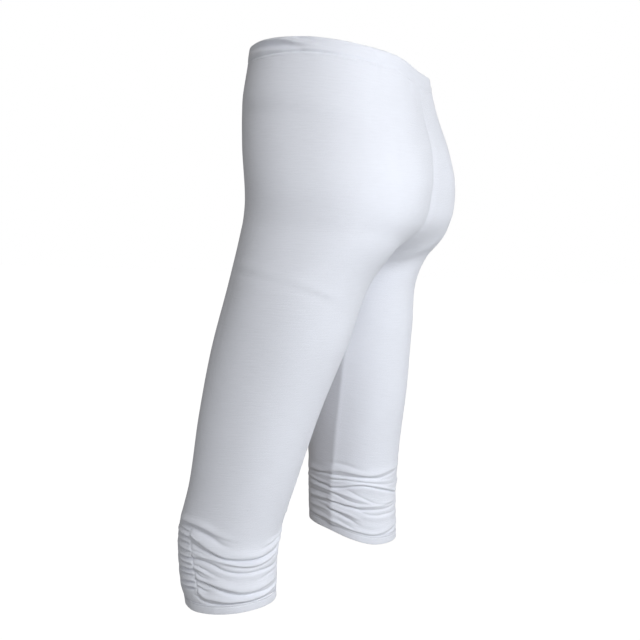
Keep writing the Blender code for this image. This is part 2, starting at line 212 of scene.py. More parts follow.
# Outer side of the left leg, from the top
OUTER_FOLDS = (
    fold(5, 2.2, (118, 104, 0), (136, 105, 1.6), (151, 105, 2), (167, 103, 2), (176, 100, 1.9),
        (185, 96, 1.5), (194, 92, 1), (206, 88, 0.5), (222, 84, 0)),
    fold(2.2, 3.2, (120, 101, 0), (141, 101, -1.2), (153, 100, -1.4), (163, 98, -1.6), (171, 95, -1.8),
        (179, 92, -1.8), (188, 88, -1.5), (198, 82, -0.9), (212, 77, 0)),
    fold(6.5, 2, (152, 93, 0), (159, 90, 1.5), (172, 83, 2.1), (185, 76, 2.3), (199, 69, 2.2),
        (220, 65, 2.2), (239, 64, 2.1), (258, 68, 1.7), (281, 73, 1.1), (305, 80, 0)),
    fold(1.8, 2.2, (154, 85, 0), (160, 81, -0.9), (172, 76, -1.3), (188, 70, -1.6), (204, 64, -1.8),
        (226, 60, -1.9), (246, 60, -1.7), (266, 63, -1.3), (281, 66, -0.9), (305, 73, 0)),
    fold(3, 1.6, (244, 74, 0), (255, 77, 0.9), (270, 80, 1.2), (285, 82, 1), (310, 86, 0)),
    fold(1.5, 1.8, (242, 71, 0), (254, 73, -0.6), (268, 76, -0.9), (285, 78, -0.7), (308, 81, 0)),
    fold(3.4, 1.6, (156, 69, 0), (163, 67, 1), (173, 67, 1.1), (186, 65, 0.9), (197, 62, 0.9),
        (209, 59, 1.2), (220, 56, 1.4), (236, 54, 1.5), (254, 56, 1.3), (273, 60, 0.8), (296, 66, 0)),
    fold(1.5, 1.8, (196, 59, 0), (209, 56, -0.4), (222, 53, -0.6), (237, 51, -0.6), (254, 53, -0.4),
        (284, 60, 0)),
    fold(1.7, 2, (155, 63, 0), (161, 63, -1.4), (173, 62, -1.7), (188, 58, -1.9), (202, 51, -2),
        (215, 47, -2), (230, 45, -1.9), (246, 45, -1.6), (262, 45, -1.2), (280, 46, -0.8), (300, 49, 0)),
    fold(1.4, 1.6, (158, 73, 0), (164, 72, -0.9), (173, 71, -0.9), (181, 68, -0.5), (191, 65, 0)),
    fold(1.4, 1.4, (160, 57, 0), (165, 56, -0.9), (173, 54, -1), (183, 50, -0.9), (195, 44, -0.4),
        (204, 41, 0)),
    fold(2.2, 1.6, (161, 54, 0), (167, 53, 1.1), (175, 50, 1.3), (184, 46, 1), (194, 42, 0.4),
        (204, 38, 0)),
    fold(1.4, 1.6, (160, 51, 0), (165, 49, -1.2), (171, 45, -1.3), (180, 42, -1), (191, 39, 0)),
    fold(6, 2, (165, 43, 0), (174, 40, 1.4), (185, 37, 1.8), (195, 34, 2), (209, 29, 2.1), (222, 25, 2.1),
        (236, 24, 2), (252, 26, 1.5), (271, 29, 1), (294, 35, 0)),
    fold(1.8, 2.2, (162, 40, 0), (169, 38, -1.4), (177, 37, -1.5), (186, 34, -1.7), (197, 28, -1.8),
        (207, 24, -1.9), (220, 20, -1.9), (240, 19, -1.8), (257, 19, -1.4), (275, 21, -1), (300, 26, 0)),
    fold(1.5, 1.8, (238, 35, 0), (248, 36, -0.4), (258, 38, -0.6), (273, 39, -0.5), (292, 42, 0)),
    fold(4, 1.6, (163, 28, 0), (171, 25, 1.2), (178, 20, 1.4), (190, 17.5, 1.6), (204, 15, 1.7),
        (220, 14, 1.7), (240, 14, 1.6), (257, 16, 1.3), (272, 18, 1), (295, 21, 0.4), (325, 22, 0)),
    fold(1.6, 1.8, (162, 22, 0), (169, 19, -1), (175, 15.5, -1.2), (184, 13, -1.3), (196, 11.5, -1.2),
        (214, 11, -0.9), (240, 11, -0.7), (270, 11, -0.5), (300, 12, 0)),
)

# Inner side of the right leg, from the top, with the inseam near a turn of 8
INNER_FOLDS = (
    fold(3, 3, (20, 91, 0), (4, 95, -0.6), (-12, 96, -0.9), (-24, 95, -0.6), (-38, 94, 0)),
    fold(5.5, 2, (72, 65, 0), (43, 74, 1.2), (28, 76, 1.4), (15, 80, 1.3), (2, 86, 1.6), (-14, 88, 1.8),
        (-32, 89, 1.9), (-47, 92, 1.8), (-59, 96, 1.7), (-71, 100, 1.4), (-85, 102, 1.1), (-115, 105, 0)),
    fold(1.6, 1.8, (74, 60, 0), (48, 68, -1.1), (30, 73, -1.2), (8, 78, -1.3), (-17, 82, -1.4),
        (-40, 86, -1.4), (-52, 88, -1.2), (-65, 92, -1), (-85, 97, -0.7), (-112, 100, 0)),
    fold(2.2, 1.6, (14, 74, 0), (6, 75, 0.8), (-8, 78, 1), (-22, 80, 1), (-43, 82, 0.8), (-70, 85, 0.6),
        (-95, 88, 0)),
    fold(1.4, 1.5, (14, 71, 0), (6, 72, -0.7), (-8, 75, -0.9), (-21, 77, -0.8), (-40, 79, -0.7),
        (-60, 80, -0.6), (-80, 81, -0.6), (-100, 82, 0)),
    fold(2.2, 1.3, (14, 61, 0), (8, 63, 1), (-5, 67, 1.2), (-17, 72, 1.3), (-30, 76, 1.3), (-41, 77, 1.3),
        (-63, 75.5, 1.3), (-93, 70, 1), (-125, 66, 0)),
    fold(1.4, 1.8, (14, 58, 0), (8, 60, -1.3), (-5, 64, -1.7), (-17, 69, -1.9), (-30, 73, -2),
        (-41, 74, -2.1), (-53, 73, -2), (-78, 70, -1.9), (-93, 67, -1.4), (-125, 62, 0)),
    fold(1.5, 1.7, (-8, 64, 0), (-16, 62, -0.7), (-25, 59, -1), (-37, 56, -1.1), (-49, 53, -1),
        (-62, 53, -0.8), (-75, 54, -0.5), (-95, 56, 0)),
    fold(3.4, 1.6, (14, 57, 0), (7, 57, 1), (-5, 56, 1.2), (-15, 55, 1.2), (-25, 54, 1), (-35, 53, 0.5),
        (-46, 52, 0)),
    fold(1.6, 1.8, (15, 54, 0), (6, 53, -1.2), (-8, 50, -1.4), (-16, 49, -1.3), (-25, 49, -1.1),
        (-32, 50, -0.6), (-42, 51, 0)),
    fold(3, 1.5, (16, 45, 0), (8, 44, 1.1), (-2, 44, 1.3), (-15, 44, 1.4), (-26, 45, 1.4), (-36, 47, 1.4),
        (-55, 51, 1.3), (-74, 55, 1), (-100, 59, 0)),
    fold(1.6, 1.9, (20, 41, 0), (12, 41, -1.4), (3, 41, -1.8), (-8, 40, -2), (-18, 41, -2.1),
        (-28, 41, -2), (-39, 43, -1.8), (-51, 45, -1.5), (-65, 47, -1.3), (-82, 50, -1), (-112, 54, 0)),
    fold(1.5, 1.8, (-22, 40, 0), (-30, 39, -0.6), (-38, 37.5, -1), (-50, 37.5, -1.2), (-68, 40, -1.1),
        (-88, 41, -0.8), (-110, 43, 0)),
    fold(3, 1.7, (16, 34, 0), (6, 33, 1.2), (-5, 32, 1.5), (-15, 31, 1.4), (-23, 29, 0.9), (-34, 27, 0)),
    fold(1.7, 2.4, (18, 30, 0), (9, 29, -1.5), (-1, 28, -1.8), (-9, 26, -1.8), (-16, 25, -1.6),
        (-22, 23, -1), (-32, 21, 0)),
    fold(1.3, 1.5, (4, 20, 0), (-8, 17.5, -0.8), (-17, 15.5, -0.7), (-26, 14, 0)),
    fold(4, 1.6, (75, 13, 0), (40, 14, 0.9), (9, 15.5, 1.3), (-10, 13.6, 1.5), (-30, 13.4, 1.6),
        (-50, 14, 1.5), (-63, 16.5, 1.3), (-77, 19, 1.1), (-93, 21, 0.9), (-125, 22, 0)),
    fold(1.5, 1.8, (-48, 10.8, 0), (-62, 12, -0.7), (-76, 15, -0.9), (-92, 18, -0.8), (-114, 20, 0)),
    fold(2.6, 1.5, (76, 57, 0), (45, 61, 1.1), (29, 62, 1.2), (15, 64, 1), (5, 66, 0)),
    fold(1.5, 1.7, (76, 53, 0), (45, 57.5, -1), (28, 58.5, -1.2), (15, 60, -1.1), (5, 61, 0)),
    fold(2.6, 1.7, (74, 48, 0), (42, 52.5, 1.1), (24, 55, 1.2), (12, 56, 1), (3, 57, 0)),
    fold(1.8, 2, (76, 38, 0), (46, 44, -1.2), (28, 47, -1.3), (12, 50, -1.1), (3, 51, 0)),
    fold(2.4, 1.7, (74, 34, 0), (45, 38, 1), (28, 41, 1.1), (13, 43, 1), (4, 44, 0)),
    fold(1.6, 2, (76, 27, 0), (48, 32, -1.2), (24, 36.5, -1.3), (12, 38, -1.2), (4, 39, 0)),
    fold(3, 2, (78, 20, 0), (51, 23.5, 0.9), (28, 27, 1), (12, 28, 0.8), (2, 28, 0)),
)

# Short creases that fan out from the upright stitching: height at the far end, height at the
# stitching and depth, in mm. A small ridge lies above each, and the reach is a turn.
SHORT_TO_FRONT = (
    (95, 93, 0.8), (88, 86, 1.2), (80, 79, 1.0), (72, 70, 1.2), (62, 62, 1.3),
    (56, 55, 1.0), (48, 49, 1.3), (42, 43, 1.3), (33, 35, 1.3), (26, 28, 1.7),
)
SHORT_TO_BACK = ((83, 88, 0.8), (66, 69, 0.5), (27, 31, 0.9))
FRONT_REACH = -44
BACK_REACH = 18
CREASE_HALF_WIDTH = 1.5
CREASE_RIDGE = 3.0
CREASE_RIDGE_SHARE = 0.75
# A short crease from the stitching out: shares of its reach, of its rise to the far end, of its depth
CREASE_SHAPE = ((0, 0, 0), (0.10, 0, 0.9), (0.40, 0.5, 1), (0.70, 1, 0.7), (1, 1, 0))

# Faint creases and soft hollows of the left hip and thigh, in the same form
BODY_FOLDS = (
    fold(11, 40, (96, 562, 0), (122, 561, -3.4), (165, 558, -4), (205, 550, -2.6), (245, 543, 0)),
    fold(6, 3.4, (120, 399, 0), (139, 400, 0.5), (159, 398, 0.6), (175, 394, 0.4), (193, 388, 0.3),
        (207, 382, 0.4), (221, 375, 0.5), (238, 364, 0.4), (260, 354, 0)),
    fold(2.8, 4, (120, 392, 0), (139, 392, -0.3), (159, 390, -0.4), (175, 386, -0.2), (193, 380, -0.2),
        (207, 374, -0.3), (221, 367, -0.4), (238, 356, -0.3), (260, 346, 0)),
    fold(2.2, 2.2, (206, 489, 0), (219, 489, -0.3), (238, 494, -0.5), (253, 494, -0.5), (275, 490, -0.3),
        (290, 487, 0)),
    fold(7, 7, (218, 478, 0), (240, 480, -0.5), (258, 479, -0.5), (276, 474, 0)),
)

# The left thigh is forward, so its cloth is drawn full and straight from the seat down to the knee
THIGH_FULLNESS = (
    fold(45, 90, (135, 370, 0), (165, 370, 4.5), (195, 368, 6), (225, 365, 7), (250, 360, 6.5),
        (275, 352, 4), (300, 345, 0)),
)

# The fold under the seat, as on the solids: turn round the leg, height above the hem, and depth
LEFT_SEAT_FOLD = table(
    "turn up depth",
    (226, 442, 0), (244, 434, 0.8), (260, 430, 1.2), (276, 428, 1), (296, 426, 0),
)
RIGHT_SEAT_FOLD = table(
    "turn up depth",
    (232, 366, 0), (252, 365, 1.6), (268, 364, 2.8), (280, 362, 3.6), (297, 356, 4.4),
    (312, 348, 4.2), (327, 338, 3.4), (342, 331, 1.8), (356, 328, 0),
)
SEAT_FOLD_WIDTH = 0.013
# The hollow under the seat where the halves meet, a little towards the leg behind: its deepest place,
# its depth and reach, and the way that it draws the cloth in, which is forwards and up
SEAT_HOLLOW = (-0.010, 0.042, -0.245)
SEAT_HOLLOW_DEPTH = 0.018
SEAT_HOLLOW_REACH = 0.030
SEAT_HOLLOW_WAY = (0, -0.8, 0.6)
# The soft hollow between the two halves of the seat: height and depth, then its half width
CLEFT = table("height depth", (-15, 0), (-60, 0.7), (-110, 1.5), (-160, 2.3), (-200, 1.8), (-240, 0))
CLEFT_WIDTH = 0.010

# Soft folds that run out from the crotch at the front
FRONT_FOLDS = (
    fold(5, 5, (40, 392, 0), (56, 402, -0.9), (78, 412, -0.7), (104, 417, 0)),
    fold(5, 5, (44, 404, 0), (60, 416, 0.6), (82, 428, 0.5), (108, 436, 0)),
    fold(5, 6, (20, 366, 0), (42, 374, -0.7), (66, 380, -0.5), (92, 384, 0)),
)

# Creases of the casing. Here the second number of a place is its distance below the rim, in mm, and
# the last fold on each side is the groove of the stitching.
CASING_FOLDS_LEFT = (
    fold(3.4, 3.4, (108, 5, 0), (124, 5.5, -2.4), (139, 6.5, -3.8), (157, 8.5, -3.6), (166, 10, -2.6),
        (173, 11.5, -1.4), (182, 13, 0)),
    fold(2.4, 2, (122, 1, 0), (139, 1.4, 1.6), (150, 1.8, 2.2), (158, 2.5, 2.4), (167, 4.7, 2.3),
        (176, 7, 1.8), (187, 8.3, 1.1), (202, 9, 0)),
    fold(1.8, 1.6, (164, 1, 0), (170, 1.5, -1.3), (178, 2.5, -1.5), (187, 4, -1.2), (198, 5, 0)),
    fold(2.4, 1.8, (108, 12, 0), (136, 12, 0.9), (160, 13.5, 1), (190, 13, 0.7), (214, 13, 0)),
    fold(1.4, 1.6, (210, 3, 0), (221, 1.5, -0.8), (231, 1, -0.6), (244, 1, 0)),
    fold(2, 2, (226, 3, 0), (238, 7, -0.5), (248, 12, -0.5), (256, 16, 0)),
    fold(1, 1.4, (-60, 16.3, -0.2), (20, 16.3, -0.6), (90, 16.6, -1), (136, 17, -1.3), (165, 16.3, -1.3),
        (200, 15.8, -1.3), (230, 16.2, -1.2), (250, 16.5, -0.6), (270, 16.5, -0.1), (330, 16.3, -0.1)),
)
CASING_FOLDS_RIGHT = (
    fold(3.2, 3, (106, 5, 0), (124, 7, -2.4), (142, 9, -3), (160, 11, -1.6), (176, 13, 0)),
    fold(2.2, 2, (110, 1, 0), (128, 2.2, 1.6), (148, 4, 2), (170, 7, 1.2), (196, 10, 0)),
    fold(1.6, 1.6, (188, 3, 0), (202, 4, -1), (216, 6, 0)),
    fold(1.6, 1.6, (248, 4, 0), (262, 8, -0.6), (274, 13, 0)),
    fold(1, 1.4, (-60, 16.3, -0.2), (30, 16.3, -0.6), (100, 16.6, -1), (150, 16.8, -1.1), (190, 16, -0.9),
        (235, 16.2, -0.5), (265, 16.5, -0.1), (330, 16.3, -0.1)),
)
# Uneven ripples of the bands: waves in a full turn, depth in mm, and the turn where they start
CASING_RIPPLES = ((23, 0.10, 20), (37, 0.09, 130), (61, 0.06, 250))
HEM_RIPPLES = ((7, 0.16, 40), (13, 0.10, 200), (29, 0.05, 310))

# Where the hem turns in at the front of a leg
HEM_TUCKS_LEFT = (fold(17, 17, (70, 0, 0), (105, 0, -3.2), (140, 0, -4.4), (165, 0, -2.2), (190, 0, 0)),)
HEM_TUCKS_RIGHT = (fold(15, 15, (60, 0, 0), (95, 0, -1.8), (130, 0, -2.2), (165, 0, 0)),)
# How the hem's edge waves: turn and rise, then how high above the hem the wave reaches
HEM_WAVE_LEFT = table("turn rise", (0, 0.4), (60, -0.6), (120, 0.5), (180, -0.4), (250, 0.6), (310, -0.5))
HEM_WAVE_RIGHT = table(
    "turn rise",
    (9, 1.2), (60, -0.3), (130, 0.6), (200, -0.5), (255, 2.8), (285, 1.4), (322, -2.2), (345, -1.0),
)
HEM_WAVE_REACH = 0.055

# Short upright puckers below the casing: turn, length in mm and depth in mm, then their half width
PUCKERS_LEFT = (
    (118, 9, -0.25), (139, 6, -0.20), (158, 11, -0.28), (187, 7, -0.22),
    (214, 9, -0.24), (243, 16, -0.45), (262, 8, -0.25), (282, 24, -0.50),
)
PUCKERS_RIGHT = (
    (110, 8, -0.22), (133, 12, -0.30), (169, 7, -0.22), (198, 10, -0.26),
    (231, 7, -0.24), (257, 13, -0.36), (284, 20, -0.42),
)
PUCKER_WIDTH = 0.0022

# How the cloth dips at its seams and bands: depth, then half width
CENTRE_SEAM = (0.0002, 0.0018)
INSEAM = (0.0005, 0.0013)
HEM_SEAM = (0.0004, 0.0018)
# The inseam makes a soft corner: how far it stands out, how far round the leg that reaches, and over
# how much height below the crotch it grows
INSEAM_CORNER = 0.0040
INSEAM_CORNER_REACH = 0.010
INSEAM_CORNER_FADE = 0.09

# Casing section, once round, in mm: distance below the rim, then distance out from the cloth's form
CASING_SECTION = (
    (0, -0.8), (0.6, 0.1), (3, 0.6), (8, 0.7), (12.5, 0.7),
    (16.3, 0.3), (18.6, 0.2), (19.7, 0.1), (19.6, -0.3), (18.7, -1.1),
    (16.5, -1.8), (12, -2.1), (3.5, -2.1), (0.7, -1.8),
)
# Hem section, once round, in mm: height above the hem's edge, then distance out from the form
HEM_SECTION = (
    (10.8, 0.1), (10, 0.3), (8.8, 0), (7, 0.3),
    (3.8, 0.4), (0.7, 0.2), (0, -0.6), (0.7, -1.7),
    (4, -1.8), (8.6, -1.7), (9.9, -0.8), (10.3, -0.1),
)
# Where the stitches of each band lie, in the same two distances
CASING_STITCH = (16.3, 0.1)
HEM_STITCH = (8.8, 0.1)

# Thread. A stitch is thinnest at its ends, which lie a little deeper than its middle.
STITCH_PITCH = 0.0032
STITCH_LENGTH = 0.0025
THREAD_RADIUS = 0.00018
THREAD_RINGS = 5
THREAD_SIDES = 6
THREAD_END_SHARE = 0.45
THREAD_SUNK_SHARE = 0.3
TWIST_SCALE = 900
TWIST_DEPTH = 0.00004

# Knit: width of a wale and height of a course, how deep the knit and its streaks are, and the share of
# its loops in that
WALE = 0.00085
COURSE = 0.00062
KNIT_DEPTH = 0.00007
STREAK_DEPTH = 0.00020
LOOP_SHARE = 0.35
# Uneven places of the cloth: noise scales across and along the wales, and its detail
STREAKS = (55, 620, 3)
CLOUDS = (22, 22, 2)
STREAK_SHARE = 0.6
MAP_NAME = "cloth"

JERSEY_COLOUR = (0.815, 0.83, 0.895)
# The darkest and the lightest places of the cloth, as shares of its colour
JERSEY_TINTS = (0.945, 1.045)
JERSEY_FINISH = {
    "Roughness": 0.88,
    "Specular IOR Level": 0.25,
    "Sheen Weight": 0.12,
    "Sheen Roughness": 0.45,
}
THREAD_FINISH = {"Base Color": (0.76, 0.78, 0.83, 1), "Roughness": 0.55}
WHITE = (1, 1, 1, 1)
FLOOR_FINISH = {
    "Base Color": (0.12, 0.12, 0.12, 1),
    "Specular IOR Level": 0,
    "Emission Color": WHITE,
    "Emission Strength": 1,
}
# A Mix node's sockets for colours: the factor, the two colours and the result
MIX_FACTOR, MIX_FIRST, MIX_SECOND, MIX_RESULT = 0, 6, 7, 2

# Camera, as the photo has it: turn, distance, slide to the right, height, and downward tilt in degrees.
# The sensor and the lens are in mm, and the focal length and the photo's width in pixels.
CAMERA_TURN = 110
CAMERA_DISTANCE = 1.50
CAMERA_SLIDE = -0.028
CAMERA_HEIGHT = -0.127
CAMERA_PITCH = 6.87
SENSOR = 36
FOCAL_PIXELS = 1245
PHOTO_PIXELS = 640
LENS = SENSOR * FOCAL_PIXELS / PHOTO_PIXELS

FLOOR_Z = -1.60
FLOOR_SIZE = 30

# Soft studio light: direction from the garment in degrees, as a turn like the camera's and a height,
# then distance, width, power in watts and colour. All of it aims at one place.
Softbox = namedtuple("Softbox", "name turn height distance width power colour")
SOFTBOXES = (
    Softbox("key", 130, 28, 2.0, 1.0, 22.5, (0.96, 0.98, 1.0)),
    Softbox("behind", 176, -9, 1.3, 1.0, 7.8, (0.91, 0.96, 1.0)),
    Softbox("far", 220, 25, 2.2, 1.4, 4.5, (1.0, 0.99, 0.97)),
    Softbox("ahead", 70, -14, 1.9, 1.2, 4.6, (0.86, 0.93, 1.0)),
)
AIM = (0, 0, -0.28)
FILL_STRENGTH = 0.21
FILL_COLOUR = (1.0, 0.96, 0.90)


def varied(folds, gains, about=0, stretch=1, lifts=(0,)):
    """The same kind of folds, spread about a turn, with gains in depth and lifts in mm by turns."""
    made = []
    for k, (above, below, path) in enumerate(folds):
        lift = lifts[k % len(lifts)]
        gain = gains[k % len(gains)]
        path = tuple((about + (at - about) * stretch, up + lift, depth * gain) for at, up, depth in path)
        made.append(Fold(above, below, path))
    return tuple(made)


def spline(knots, values, at):
    """A smooth curve through the values at the knots, read at any places."""
    step = np.diff(knots)
    slope = np.diff(values) / step
    lean = np.empty_like(values)
    lean[1:-1] = (slope[:-1] * step[1:] + slope[1:] * step[:-1]) / (step[1:] + step[:-1])
    lean[0] = slope[0]
    lean[-1] = slope[-1]
    at = np.clip(at, knots[0], knots[-1])
    k = np.clip(np.searchsorted(knots, at, side="right") - 1, 0, len(knots) - 2)
    t = (at - knots[k]) / step[k]
    ends = (1 + 2 * t) * (1 - t) ** 2 * values[k] + t * t * (3 - 2 * t) * values[k + 1]
    leans = t * (1 - t) ** 2 * lean[k] + t * t * (t - 1) * lean[k + 1]
    return ends + leans * step[k]


def closed_curve(knots, values, turn):
    """A smooth curve that meets itself after 360 degrees."""
    knots = np.concatenate([knots - 360, knots, knots + 360])
    return spline(knots, np.tile(values, 3), turn)


def ease(t):
    """A smooth step from 0 to 1."""
    t = np.clip(t, 0, 1)
    return t * t * (3 - 2 * t)


def bell(distance, width):
    """A smooth bump: 1 in the middle and 0.37 at its half width."""
    return np.exp(-((distance / width) ** 2))


def stitching_turn(up):
    """Turn of the upright stitching at a height above the hem."""
    return spline(STITCHING["up"], STITCHING["turn"], up)


def short_folds(rows, reach):
    """Short creases with a ridge above, out from the upright stitching, forwards if reach is negative."""
    made = []
    for far_up, near_up, depth in rows:
        start = float(stitching_turn(near_up * MM))
        for lift, height in ((0, -depth), (CREASE_RIDGE, CREASE_RIDGE_SHARE * depth)):
            path = tuple(
                (start + out * reach, near_up + rise * (far_up - near_up) + lift, share * height)
                for out, rise, share in CREASE_SHAPE
            )
            made.append(Fold(CREASE_HALF_WIDTH, CREASE_HALF_WIDTH, path))
    return tuple(made)


SHORT_FOLDS = short_folds(SHORT_TO_FRONT, FRONT_REACH) + short_folds(SHORT_TO_BACK, BACK_REACH)
# The left leg's outer side is pulled tighter than its folds are drawn. Sides that the photo hides get
# the same kinds of folds as the sides that show, at other places.
LEFT_FOLDS = (
    varied(OUTER_FOLDS, gains=(1.3,))
    + varied(SHORT_FOLDS, gains=(1.2,))
    + varied(INNER_FOLDS, gains=(0.8, 1.1, 0.9), about=8, stretch=0.76, lifts=(-3, 1.5, 4, -1.5))
    + BODY_FOLDS
    + THIGH_FULLNESS
    + FRONT_FOLDS
)
RIGHT_FOLDS = (
    varied(OUTER_FOLDS, gains=(1.1, 0.85, 1.0, 0.9), about=160, stretch=0.7, lifts=(1.5, -1, 2, 0.5, -1.5))
    + varied(SHORT_FOLDS, gains=(0.9, 1.15, 0.8), lifts=(0.6, -0.8, 0.3, 1.0, -0.4))
    + INNER_FOLDS
    + varied(BODY_FOLDS, gains=(0.9, 1.1, 0.8), about=200, stretch=0.9, lifts=(-30, -52, -52, -20, -24))
    + varied(FRONT_FOLDS, gains=(0.8, 1.1, 0.9), about=60, stretch=1.05, lifts=(-28, -34, -30))
)

Side = namedtuple("Side", "name sign leg hem gathers seat_fold folds puckers casing_folds tucks hem_wave")
LEFT = Side(
    "left", 1, LEFT_LEG, LEFT_HEM, LEFT_GATHERS, LEFT_SEAT_FOLD, LEFT_FOLDS, PUCKERS_LEFT,
    CASING_FOLDS_LEFT, HEM_TUCKS_LEFT, HEM_WAVE_LEFT,
)
RIGHT = Side(
    "right", -1, RIGHT_LEG, RIGHT_HEM, RIGHT_GATHERS, RIGHT_SEAT_FOLD, RIGHT_FOLDS, PUCKERS_RIGHT,
    CASING_FOLDS_RIGHT, HEM_TUCKS_RIGHT, HEM_WAVE_RIGHT,
)


def read(columns, name, height):
    """A named column of a table of sections, at any height."""
    return spline(columns["height"], columns[name], height)


def oval_ratio(x, y, half_width, front, back, power):
    """How far out a point lies in an oval section: 0 at its middle, 1 on its edge."""
    depth = np.where(y < 0, front, back)
    return ((np.abs(x) / half_width) ** power + (np.abs(y) / depth) ** power) ** (1 / power)


def melt(a, b, reach):
    """The smaller of two distances, rounded where they are alike."""
    near = np.maximum(reach - np.abs(a - b), 0) / reach
    return np.minimum(a, b) - near * near * reach / 4


def leg_form(side, x, y, z):
    """Distance outside a leg, negative inside it."""
    leg = side.leg
    dx = x - side.sign * read(leg, "centre_x", z)
    dy = y - read(leg, "centre_y", z)
    size = [read(leg, name, z) for name in ("half_width", "front", "back")]
    ratio = np.maximum(oval_ratio(dx, dy, *size, LEG_POWER), TINY)
    radius = np.hypot(dx, dy)
    return radius - radius / ratio


def torso_form(x, y, z):
    """Rough distance outside the torso, negative inside it, and smooth at its middle too."""
    half_width = read(TORSO, "half_width", z)
    front = read(TORSO, "front", z)
    back = read(TORSO, "back", z)
    depth = (back - front) / 2
    ratio = oval_ratio(x, y - (front + back) / 2, half_width, depth, depth, TORSO_POWER)
    below = np.maximum(TORSO["height"][0] - z, 0)
    return np.sqrt(half_width * depth) * (ratio**2 - 1) / 2 + TORSO_FALL * below


def form(x, y, z):
    """Distance outside the filled-out leggings, negative inside them."""
    legs = melt(leg_form(LEFT, x, y, z), leg_form(RIGHT, x, y, z), LEG_BLEND)
    return melt(legs, torso_form(x, y, z), TORSO_BLEND)


def unit(vectors):
    """The same directions with a length of 1."""
    return vectors / np.linalg.norm(vectors, axis=-1, keepdims=True)


def outward(p):
    """The form's outward direction at points on it."""
    slopes = []
    for axis in np.eye(3) * SLOPE_REACH:
        ahead = form(*np.moveaxis(p + axis, -1, 0))
        behind = form(*np.moveaxis(p - axis, -1, 0))
        slopes.append(ahead - behind)
    return unit(np.stack(slopes, axis=-1))


def edge_of_form(near, far, is_inside):
    """Where the form ends, between places inside it and others outside."""
    for _ in range(BISECTIONS):
        middle = (near + far) / 2
        inside = is_inside(middle)
        near = np.where(inside, middle, near)
        far = np.where(inside, far, middle)
    return near


def find_crotch():
    """The lowest place of the form on the middle plane: its y and z."""
    y = np.linspace(*CROTCH_SEARCH_Y, CROTCH_SEARCH_PLACES)
    low, high = (np.full_like(y, z) for z in CROTCH_SEARCH_Z)
    bottom = edge_of_form(high, low, lambda z: form(0 * y, y, z) < 0)
    lowest = np.argmin(bottom)
    return y[lowest], bottom[lowest]


CROTCH_Y, CROTCH_Z = find_crotch()


def waist_turn(x, y):
    """Degrees round the waist from the front over the left side."""
    return np.degrees(np.arctan2(x, RIM_AXIS_Y - y)) % 360


def hem_rise(side, x, y):
    """How far the hem edge lies above its height at the leg's centre."""
    hem = side.hem
    out = side.sign * x - read(side.leg, "centre_x", hem.height)
    return hem.back * (y - read(side.leg, "centre_y", hem.height)) + hem.out * out


def row_height(side, up, x, y):
    """World height of a row that runs a given distance above the hem edge."""
    length = -side.hem.height
    share = up / length
    rim = ease((share - 1 + RIM_REACH) / RIM_REACH)
    hem = 1 - ease((share - HEM_LEVEL) / HEM_REACH)
    rim_height = closed_curve(RIM["turn"], RIM["height"], waist_turn(x, y))
    return up - length + rim * rim_height + hem * hem_rise(side, x, y)


def row_ends(side, up):
    """The first and last direction of each row, and which rows stop at the middle plane."""
    height = up + side.hem.height
    centre_x = read(side.leg, "centre_x", height)
    centre_y = read(side.leg, "centre_y", height)
    at_crotch = row_height(side, up, 0, CROTCH_Y)
    stops = form(0 * up, CROTCH_Y, at_crotch) < -TINY

    def inside_middle(y):
        return form(0 * y, y, row_height(side, up, side.sign * TINY, y)) < 0

    middle = np.full_like(up, CROTCH_Y)
    ends = []
    for way in (-1, 1):
        y = edge_of_form(middle, middle + way * FAR, inside_middle)
        ends.append(np.arctan2(centre_y - y, centre_x))
    toward_crotch = np.arctan2(centre_y - CROTCH_Y, centre_x)
    swing = ease((CROTCH_Z - height) / INSEAM_SWING)
    inseam = toward_crotch * (1 - swing) + radians(INSEAM_TURN) * swing
    first = np.where(stops, ends[0], inseam)
    last = 2 * pi + np.where(stops, ends[1], inseam)
    return first, last, stops


def place(side, up, angle):
    """Points of the form, at heights above the hem and directions round the leg's centre."""
    height = up + side.hem.height
    centre_x = read(side.leg, "centre_x", height)
    centre_y = read(side.leg, "centre_y", height)

    def point(reach):
        x = side.sign * (centre_x - np.cos(angle) * reach)
        y = centre_y - np.sin(angle) * reach
        return x, y, row_height(side, up, x, y)

    far = np.minimum(FAR, centre_x / np.maximum(np.cos(angle), TINY))
    reach = edge_of_form(np.zeros_like(angle), far, lambda reach: form(*point(reach)) < 0)
    return np.stack(point(reach), axis=-1)


def lengths_along(points):
    """Distance along each row of points from its first one."""
    steps = np.linalg.norm(np.diff(points, axis=1), axis=-1)
    return np.concatenate([np.zeros((len(points), 1)), np.cumsum(steps, axis=1)], axis=1)


def column_shares(count):
    """Where the columns lie along a row, closer together where there is stitching."""
    even = np.linspace(0, 1, CROWD_STEPS)
    crowd = 1 + sum(extra * bell(even - at, width) for at, extra, width in COLUMN_CROWDS)
    total = np.cumsum(crowd) - crowd[0]
    return np.interp(np.linspace(0, 1, count + 1), total / total[-1], even)


def cloth_grid(side, ups, count):
    """Directions, points of the form and ends of rows at the given heights above the hem."""
    up = np.asarray(ups, float)[:, None]
    first, last, stops = row_ends(side, up)
    dense = first + (last - first) * np.linspace(0, 1, DENSE_COLUMNS + 1)
    run = lengths_along(place(side, up, dense))
    even = column_shares(count)
    crowding = CROTCH_CROWDING * bell(up + side.hem.height - CROTCH_Z, CROTCH_REACH)
    share = even - crowding * np.sin(2 * pi * even) / (2 * pi)
    angle = np.array([np.interp(s * r[-1], r, a) for s, r, a in zip(share, run, dense)])
    return angle, place(side, up, angle), stops[:, 0]


def seat_dip(side, turn, up):
    """How far the fold under the seat draws the cloth in."""
    crease = side.seat_fold
    line = spline(crease["turn"], crease["up"], turn)
    depth = spline(crease["turn"], crease["depth"], turn)
    return depth * bell(up - line, SEAT_FOLD_WIDTH)


